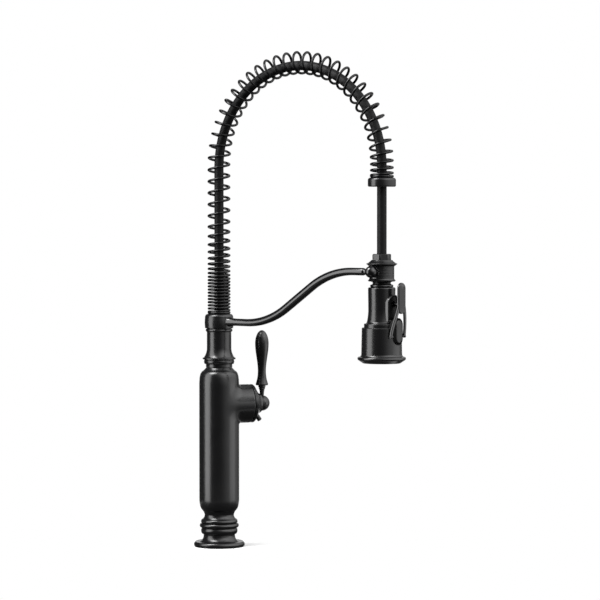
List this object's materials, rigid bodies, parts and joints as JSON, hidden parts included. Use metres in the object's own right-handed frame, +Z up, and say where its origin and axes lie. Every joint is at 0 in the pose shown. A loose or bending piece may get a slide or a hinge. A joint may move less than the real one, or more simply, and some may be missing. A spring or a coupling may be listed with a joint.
{
  "type": "pull-down kitchen faucet",
  "caption": "Tall kitchen faucet with a coiled spring spout over a hose, a bent docking arm, a pull-down spray head with thumb lever and button, and a side mixer lever.",
  "frame": {"origin": "centre of the base where it stands on the deck, on the column axis", "axes": "+Z up along the column, +X along the spout towards the spray head at rest; the side lever stands at 60 degrees from +X about +Z"},
  "size_m": [0.3003, 0.0884, 0.5925],
  "materials": {
    "black_metal": "satin black powder coat",
    "black_spring": "semi-gloss black coated spring wire",
    "hose_black": "fine woven black sleeve over a hose",
    "black_plastic": "matte black moulded plastic",
    "nozzle_rubber": "soft dark grey silicone",
    "brass": "machined brass",
    "copper_tube": "drawn copper tube",
    "steel": "plain steel",
    "bearing_plastic": "white acetal",
    "seal_rubber": "black sealing rubber"
  },
  "bodies": {
    "column": {"base_gasket": "seal_rubber", "base_flange": "black_metal", "base_collar": "black_metal", "shank_bushing": "brass", "body_shell": "black_metal", "outlet_tube": "copper_tube", "hot_tube": "copper_tube", "cold_tube": "copper_tube", "valve_body": "brass", "swivel_bushing": "bearing_plastic", "cartridge": "bearing_plastic", "cartridge_nut": "brass", "bonnet": "black_metal", "bonnet_screw": "black_metal"},
    "mixer": {"mixer_carrier": "brass"},
    "handle": {"handle_ball": "black_metal", "handle_pin": "black_metal", "lever_stem": "black_metal", "lever_grip": "black_metal"},
    "spout": {"spout_neck": "black_metal", "swivel_seals": "seal_rubber", "arm_hub": "black_metal", "hose_fitting": "brass", "spring": "black_spring", "spout_hose": "hose_black", "spring_cap": "black_metal", "docking_arm": "black_metal", "dock_ring": "black_plastic", "dock_cap": "black_metal", "dock_nut": "black_metal", "dock_magnet": "steel", "dock_screw": "black_metal"},
    "hose_end": {"hose_drop": "hose_black", "hose_coupling": "brass"},
    "spray_head": {"head_neck": "black_metal", "head_keeper": "steel", "upper_shell": "black_metal", "step_ring": "black_metal", "lower_shell": "black_metal", "face_rim": "black_metal", "diverter_body": "bearing_plastic", "spray_face": "black_plastic", "nozzle_mat": "nozzle_rubber", "aerator": "black_plastic", "lever_pad": "black_plastic", "button_bezel": "black_plastic", "lever_pivots": "black_metal"},
    "thumb_lever": {"spray_lever": "black_metal", "lever_plunger": "steel"},
    "button": {"boost_button": "black_plastic"}
  },
  "joints": [
    {"name": "spout_swivel", "type": "hinge", "parent": "column", "child": "spout", "pos_m": [0, 0, 0.2], "axis": [0, 0, 1], "range_deg": [-180, 180]},
    {"name": "temperature_turn", "type": "hinge", "parent": "column", "child": "mixer", "pos_m": [0, 0, 0.1712], "axis": [0.5, 0.866, 0], "range_deg": [-45, 45]},
    {"name": "flow_lift", "type": "hinge", "parent": "mixer", "child": "handle", "pos_m": [0.0278, 0.04815, 0.1712], "axis": [-0.866, 0.5, 0], "range_deg": [0, 25]},
    {"name": "head_pull", "type": "slide", "parent": "spout", "child": "hose_end", "axis": [0, 0, -1], "range_m": [0, 0.18], "stiffness_N_per_m": 30, "springref_m": -0.25, "deforming": ["hose_drop"]},
    {"name": "head_turn", "type": "hinge", "parent": "hose_end", "child": "spray_head", "pos_m": [0.24, 0, 0.3], "axis": [0, 0, 1], "continuous": true},
    {"name": "lever_press", "type": "hinge", "parent": "spray_head", "child": "thumb_lever", "pos_m": [0.2625, 0, 0.2608], "axis": [0, -1, 0], "range_deg": [0, 6], "stiffness_Nm_per_rad": 0.6, "springref_deg": -8.59},
    {"name": "button_press", "type": "slide", "parent": "spray_head", "child": "button", "axis": [-1, 0, 0], "range_m": [0, 0.002], "stiffness_N_per_m": 600, "springref_m": -0.002}
  ]
}
